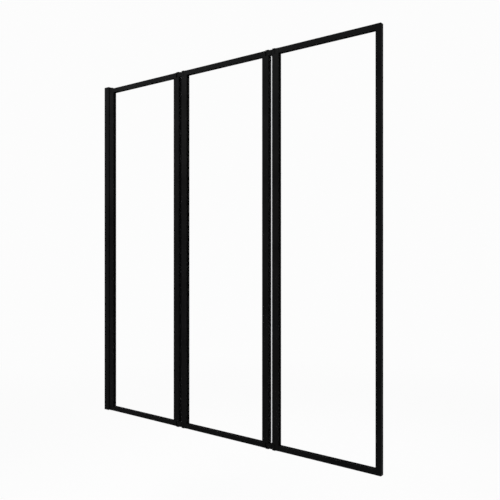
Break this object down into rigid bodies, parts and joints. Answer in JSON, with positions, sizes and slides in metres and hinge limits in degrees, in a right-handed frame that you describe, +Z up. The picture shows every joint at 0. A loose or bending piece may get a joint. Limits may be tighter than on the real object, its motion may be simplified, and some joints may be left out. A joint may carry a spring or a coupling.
{
  "type": "folding bath screen",
  "caption": "Folding bath screen: black-framed clear glass leaves in a row on a wall channel, with link hinges at the folds so that they fold flat on each other.",
  "frame": {"origin": "on the wall plane, in the middle of the frame's depth, at the foot of the wall channel", "axes": "+X from the wall to the free end, +Y to the bath side (the picture looks from -Y), +Z up"},
  "size_m": [1.3, 0.0238, 1.4],
  "materials": {
    "black_frame": "satin black powder coat on extruded aluminium",
    "black_casting": "satin black lacquer on die-cast zinc",
    "clear_glass": "clear toughened glass",
    "clear_seal": "clear flexible vinyl",
    "black_rubber": "matt black rubber",
    "black_plastic": "matt black moulded plastic",
    "black_steel": "blackened steel",
    "steel": "plain stainless steel"
  },
  "bodies": {
    "wall_side": {"wall_adjusting_covers": "black_plastic", "wall_adjusting_screws": "steel", "wall_bracket_bottom": "black_casting", "wall_bracket_screws": "steel", "wall_bracket_top": "black_casting", "wall_channel": "black_frame", "wall_channel_cap": "black_plastic", "wall_insert": "black_frame"},
    "inner_leaf": {"inner_leaf_bottom_rail": "black_frame", "inner_leaf_drip_seal": "black_rubber", "inner_leaf_end_plugs": "black_plastic", "inner_leaf_frame_screws": "black_steel", "inner_leaf_gasket": "black_rubber", "inner_leaf_glass": "clear_glass", "inner_leaf_left_stile": "black_frame", "inner_leaf_right_fin_seal": "clear_seal", "inner_leaf_right_pivot_pins": "black_steel", "inner_leaf_right_stile": "black_frame", "inner_leaf_right_washers": "black_plastic", "inner_leaf_top_rail": "black_frame", "inner_leaf_wall_fin_seal": "clear_seal", "inner_leaf_wall_pins": "steel", "inner_leaf_wall_washers": "black_plastic"},
    "inner_fold": {"inner_fold_bottom_link": "black_casting", "inner_fold_top_link": "black_casting"},
    "middle_leaf": {"middle_leaf_bottom_rail": "black_frame", "middle_leaf_drip_seal": "black_rubber", "middle_leaf_end_plugs": "black_plastic", "middle_leaf_frame_screws": "black_steel", "middle_leaf_gasket": "black_rubber", "middle_leaf_glass": "clear_glass", "middle_leaf_left_fin_seal": "clear_seal", "middle_leaf_left_pivot_pins": "black_steel", "middle_leaf_left_stile": "black_frame", "middle_leaf_left_washers": "black_plastic", "middle_leaf_right_fin_seal": "clear_seal", "middle_leaf_right_pivot_pins": "black_steel", "middle_leaf_right_stile": "black_frame", "middle_leaf_right_washers": "black_plastic", "middle_leaf_top_rail": "black_frame"},
    "outer_fold": {"outer_fold_bottom_link": "black_casting", "outer_fold_top_link": "black_casting"},
    "outer_leaf": {"outer_leaf_bottom_rail": "black_frame", "outer_leaf_drip_seal": "black_rubber", "outer_leaf_end_plugs": "black_plastic", "outer_leaf_frame_screws": "black_steel", "outer_leaf_gasket": "black_rubber", "outer_leaf_glass": "clear_glass", "outer_leaf_left_fin_seal": "clear_seal", "outer_leaf_left_pivot_pins": "black_steel", "outer_leaf_left_stile": "black_frame", "outer_leaf_left_washers": "black_plastic", "outer_leaf_right_stile": "black_frame", "outer_leaf_screw_covers": "black_plastic", "outer_leaf_top_rail": "black_frame"}
  },
  "joints": [
    {"name": "wall_pivot", "type": "hinge", "parent": "wall_side", "child": "inner_leaf", "pos_m": [0.0395, 0, 0], "axis": [0, 0, 1], "range_deg": [0, 90]},
    {"name": "inner_fold_pivot", "type": "hinge", "parent": "inner_leaf", "child": "inner_fold", "pos_m": [0.439, 0, 0], "axis": [0, 0, 1], "range_deg": [-90, 0]},
    {"name": "middle_leaf_pivot", "type": "hinge", "parent": "inner_fold", "child": "middle_leaf", "pos_m": [0.467, 0, 0], "axis": [0, 0, 1], "range_deg": [-90, 0]},
    {"name": "outer_fold_pivot", "type": "hinge", "parent": "middle_leaf", "child": "outer_fold", "pos_m": [0.871, 0, 0], "axis": [0, 0, 1], "range_deg": [0, 90]},
    {"name": "outer_leaf_pivot", "type": "hinge", "parent": "outer_fold", "child": "outer_leaf", "pos_m": [0.899, 0, 0], "axis": [0, 0, 1], "range_deg": [0, 90]}
  ]
}
